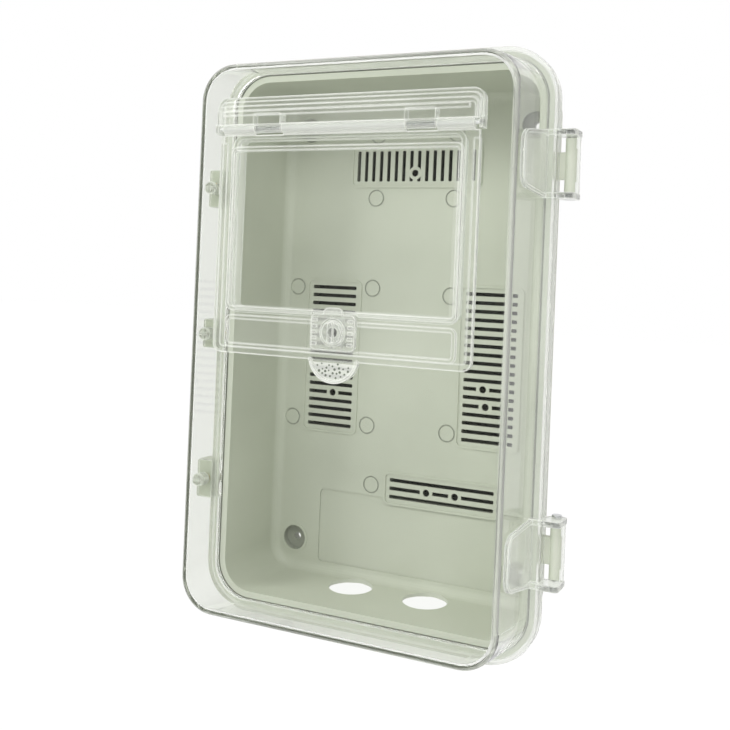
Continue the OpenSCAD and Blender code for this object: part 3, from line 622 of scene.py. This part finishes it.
def fed(tree, kind, **feeds):
    """A node of this kind, with each named input set to a value or linked to a socket."""
    node = tree.nodes.new(kind)
    for label, value in feeds.items():
        socket = node.inputs[label.replace("_", " ")]
        if isinstance(value, bpy.types.NodeSocket):
            tree.links.new(value, socket)
        else:
            socket.default_value = value
    return node


def close_rule(tree, given, out, geometry):
    """Makes the copies real, paints them and ends the tree."""
    real = fed(tree, "GeometryNodeRealizeInstances", Geometry=geometry)
    painted = fed(tree, "GeometryNodeSetMaterial", Geometry=real.outputs[0], Material=given.outputs["Finish"])
    tree.links.new(painted.outputs[0], out.inputs["Geometry"])


LENGTH = "NodeSocketFloat"
SHARE = "NodeSocketFloat"
COUNT = "NodeSocketInt"
PLACE = "NodeSocketVector"
FINISH = "NodeSocketMaterial"


def stud_rule():
    """Small blunt cones strewn over the lower part of a round pad that faces the front."""
    tree, given, out = shape_rule("grip_stud_rule", {
        "Pad Radius": (LENGTH, 12 * MM), "Pad Centre": (PLACE, (0, 0, 0)), "Top": (LENGTH, 0.0),
        "Spacing": (LENGTH, 2 * MM), "Foot Radius": (LENGTH, 0.8 * MM), "Tip Radius": (LENGTH, 0.5 * MM),
        "Height": (LENGTH, 0.7 * MM), "Smallest": (SHARE, 0.6), "Largest": (SHARE, 1.0),
        "Seed": (COUNT, 3), "Finish": (FINISH, None)})
    want = given.outputs
    pad = fed(tree, "GeometryNodeMeshCircle", Vertices=48, Radius=want["Pad Radius"])
    pad.fill_type = "NGON"
    upright = fed(tree, "GeometryNodeTransform", Geometry=pad.outputs[0], Translation=want["Pad Centre"],
                  Rotation=(math.pi / 2, 0, 0))
    strewn = tree.nodes.new("GeometryNodeDistributePointsOnFaces")
    strewn.distribute_method = "POISSON"
    tree.links.new(upright.outputs[0], strewn.inputs["Mesh"])
    tree.links.new(want["Spacing"], strewn.inputs["Distance Min"])
    strewn.inputs["Density Max"].default_value = 2e6
    tree.links.new(want["Seed"], strewn.inputs["Seed"])
    position = tree.nodes.new("GeometryNodeInputPosition")
    height = parts_of(tree, position.outputs[0])[2]
    above = tree.nodes.new("FunctionNodeCompare")
    above.data_type = "FLOAT"
    above.operation = "GREATER_THAN"
    tree.links.new(height, above.inputs[0])
    tree.links.new(want["Top"], above.inputs[1])
    kept = fed(tree, "GeometryNodeDeleteGeometry", Geometry=strewn.outputs["Points"],
               Selection=above.outputs[0])
    kept.domain = "POINT"
    stud = fed(tree, "GeometryNodeMeshCone", Vertices=8, Radius_Top=want["Tip Radius"],
               Radius_Bottom=want["Foot Radius"], Depth=want["Height"])
    size = tree.nodes.new("FunctionNodeRandomValue")
    size.data_type = "FLOAT"
    tree.links.new(want["Smallest"], size.inputs[2])
    tree.links.new(want["Largest"], size.inputs[3])
    tree.links.new(want["Seed"], size.inputs["Seed"])
    set_out = fed(tree, "GeometryNodeInstanceOnPoints", Points=kept.outputs[0], Instance=stud.outputs[0],
                  Rotation=strewn.outputs["Rotation"], Scale=size.outputs[1])
    close_rule(tree, given, out, set_out.outputs[0])
    return tree


def thread_rule():
    """A screw thread: one ridge wound about a line along Y."""
    tree, given, out = shape_rule("screw_thread_rule", {
        "Radius": (LENGTH, 2 * MM), "Pitch": (LENGTH, 0.7 * MM), "Length": (LENGTH, 9 * MM),
        "Ridge": (LENGTH, 0.2 * MM), "Start": (PLACE, (0, 0, 0)), "Finish": (FINISH, None)})
    want = given.outputs
    turns = arith(tree, "DIVIDE", want["Length"], want["Pitch"])
    wound = fed(tree, "GeometryNodeCurveSpiral", Resolution=20, Rotations=turns,
                Start_Radius=want["Radius"], End_Radius=want["Radius"], Height=want["Length"])
    ridge = fed(tree, "GeometryNodeCurvePrimitiveCircle", Resolution=4, Radius=want["Ridge"])
    solid = fed(tree, "GeometryNodeCurveToMesh", Curve=wound.outputs[0], Profile_Curve=ridge.outputs[0],
                Fill_Caps=True)
    lying = fed(tree, "GeometryNodeTransform", Geometry=solid.outputs[0], Translation=want["Start"],
                Rotation=(-math.pi / 2, 0, 0))
    close_rule(tree, given, out, lying.outputs[0])
    return tree


def made_by(rule, name, body, slot, **sizes):
    """Follows the rule with these sizes, and leaves its result as a plain mesh on the body."""
    seed = bpy.data.objects.new(name + "_rule", bpy.data.meshes.new(name + "_rule"))
    scene.collection.objects.link(seed)
    modifier = seed.modifiers.new(name, "NODES")
    modifier.node_group = rule
    for item in rule.interface.items_tree:
        label = item.name.replace(" ", "_")
        if item.in_out == "INPUT" and label in sizes:
            modifier[item.identifier] = sizes[label]
    shape = bpy.data.meshes.new_from_object(seed.evaluated_get(bpy.context.evaluated_depsgraph_get()))
    seed.modifiers.clear()
    bpy.data.objects.remove(seed)
    shape.name = name
    piece = bpy.data.objects.new(name, shape)
    scene.collection.objects.link(piece)
    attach(piece, body)


# Finger pull: the middle of its round, the studded radius, its front face, and how deep the studs
# are sunk in it
PULL_Z, PULL_RADIUS = -3.6, 11.6
PULL_FRONT_Y, SUNK = -106.0, 0.05
made_by(stud_rule(), "pull_grip_studs", "flap", "clear_flap",
        Pad_Radius=PULL_RADIUS * MM, Pad_Centre=(0.0, (PULL_FRONT_Y + SUNK) * MM, PULL_Z * MM),
        Top=(FLAP_BOTTOM_Z - 1.4) * MM, Spacing=1.9 * MM, Foot_Radius=0.85 * MM, Tip_Radius=0.5 * MM,
        Height=0.65 * MM, Smallest=0.6, Largest=1.0, Seed=5, Finish=GRIP)

# Seal screws: their axes, how far their threads reach along Y, and the threads' sizes
SCREW_X = -105.5
SCREW_Z = {"upper": 86, "middle": 0, "lower": -86}
THREAD_FROM_Y, THREAD_TO_Y = -62.0, -54.0
THREAD_RADIUS, THREAD_PITCH, THREAD_RIDGE = 1.98, 0.7, 0.15
THREADS = thread_rule()
for place, height in SCREW_Z.items():
    made_by(THREADS, "seal_screw_thread_" + place, "screw_" + place, "screw_plastic",
            Radius=THREAD_RADIUS * MM, Pitch=THREAD_PITCH * MM,
            Length=(THREAD_TO_Y - THREAD_FROM_Y) * MM, Ridge=THREAD_RIDGE * MM,
            Start=(SCREW_X * MM, THREAD_FROM_Y * MM, height * MM), Finish=SCREW_PLASTIC)


# ------------------------------------------------------------------ camera and studio

# The eye's place and how it is turned, and the lens and its sensor in millimetres
EYE = (0.2380, -0.5625, 0.0379)
YAW, PITCH, ROLL = math.radians(25.99), math.radians(0.43), math.radians(2.394)
LENS_LENGTH, SENSOR_WIDTH = 49.45, 36
LENS_SHIFT = (0.0011, -0.1324)
# The floor: how far below the enclosure it lies, half its side, its grey, and its white glow
FLOOR_DROP, FLOOR_REACH = 0.14, 6
FLOOR_GREY = 0.86
FLOOR_GLOW, FLOOR_GLOW_SHARE = 1.06, 0.9
# The soft light from all round, and how often light may be turned or mirrored
FILL_COLOUR, FILL_STRENGTH = (1, 1, 0.98, 1), 0.63
RAY_BOUNCES, MIRROR_BOUNCES = 24, 12


def aim_camera():
    """A camera at the eye, turned by yaw, pitch and roll."""
    ahead = Vector((-math.sin(YAW) * math.cos(PITCH), math.cos(YAW) * math.cos(PITCH), math.sin(PITCH)))
    level = Vector((math.cos(YAW), math.sin(YAW), 0))
    above = level.cross(ahead)
    right = math.cos(ROLL) * level + math.sin(ROLL) * above
    up = math.cos(ROLL) * above - math.sin(ROLL) * level
    data = bpy.data.cameras.new("viewpoint")
    data.sensor_width = SENSOR_WIDTH
    data.lens = LENS_LENGTH
    data.shift_x, data.shift_y = LENS_SHIFT
    data.clip_start = 0.01
    data.dof.use_dof = False
    camera = bpy.data.objects.new("viewpoint", data)
    camera.matrix_world = Matrix((
        (right.x, up.x, -ahead.x, EYE[0]),
        (right.y, up.y, -ahead.y, EYE[1]),
        (right.z, up.z, -ahead.z, EYE[2]),
        (0, 0, 0, 1),
    ))
    scene.collection.objects.link(camera)
    scene.camera = camera


def soft_box(name, place, width, height, watts):
    """A white rectangular lamp turned towards the middle of the part."""
    data = bpy.data.lights.new(name, "AREA")
    data.shape = "RECTANGLE"
    data.size, data.size_y = width, height
    data.energy = watts
    lamp = bpy.data.objects.new(name, data)
    lamp.location = place
    lamp.rotation_euler = (-Vector(place)).to_track_quat("-Z", "Y").to_euler()
    scene.collection.objects.link(lamp)


def seen_directly(tree):
    """1 for camera, mirror and through-glass rays, 0 for rays that only carry light."""
    path = tree.nodes.new("ShaderNodeLightPath")
    return most_of(tree, [path.outputs["Is Camera Ray"], path.outputs["Is Glossy Ray"],
                          path.outputs["Is Transmission Ray"]])


def white_world():
    """Plain white where it is seen, also through glass and in mirrors, and a soft fill as light."""
    world = bpy.data.worlds.new("white_studio")
    scene.world = world
    world.use_nodes = True
    tree = world.node_tree
    tree.nodes.clear()
    backdrop = tree.nodes.new("ShaderNodeBackground")
    backdrop.inputs["Color"].default_value = (1, 1, 1, 1)
    backdrop.inputs["Strength"].default_value = 1.0
    fill = tree.nodes.new("ShaderNodeBackground")
    fill.inputs["Color"].default_value = FILL_COLOUR
    fill.inputs["Strength"].default_value = FILL_STRENGTH
    out = tree.nodes.new("ShaderNodeOutputWorld")
    chosen = mixed(tree, seen_directly(tree), fill, backdrop)
    tree.links.new(chosen.outputs[0], out.inputs["Surface"])


def pale_floor():
    """A matt sheet that keeps the part's shadow and glows to white where it is seen."""
    mesh = bpy.data.meshes.new("floor")
    z = CAD_BOX[0][2] - FLOOR_DROP
    corners = [(x * FLOOR_REACH, y * FLOOR_REACH, z) for x, y in ((-1, -1), (1, -1), (1, 1), (-1, 1))]
    mesh.from_pydata(corners, [], [(0, 1, 2, 3)])
    floor = bpy.data.objects.new("floor", mesh)
    scene.collection.objects.link(floor)
    paper = bpy.data.materials.new("floor_paper")
    paper.use_nodes = True
    tree = paper.node_tree
    tree.nodes.clear()
    matt = tree.nodes.new("ShaderNodeBsdfDiffuse")
    matt.inputs["Color"].default_value = (FLOOR_GREY, FLOOR_GREY, FLOOR_GREY, 1)
    glow = tree.nodes.new("ShaderNodeEmission")
    glow.inputs["Color"].default_value = (1, 1, 1, 1)
    glow.inputs["Strength"].default_value = FLOOR_GLOW
    glowing = arith(tree, "MULTIPLY", seen_directly(tree), FLOOR_GLOW_SHARE)
    out = tree.nodes.new("ShaderNodeOutputMaterial")
    tree.links.new(mixed(tree, glowing, matt, glow).outputs[0], out.inputs["Surface"])
    mesh.materials.append(paper)


aim_camera()
white_world()
pale_floor()
soft_box("key_soft_box", place=(-1.25, -0.95, 0.75), width=0.7, height=0.8, watts=12)
soft_box("front_fill", place=(0.45, -1.25, 1.15), width=0.9, height=0.6, watts=9)
scene.cycles.max_bounces = RAY_BOUNCES
scene.cycles.transmission_bounces = RAY_BOUNCES
scene.cycles.transparent_max_bounces = RAY_BOUNCES
scene.cycles.glossy_bounces = MIRROR_BOUNCES
scene.view_settings.view_transform = "Standard"
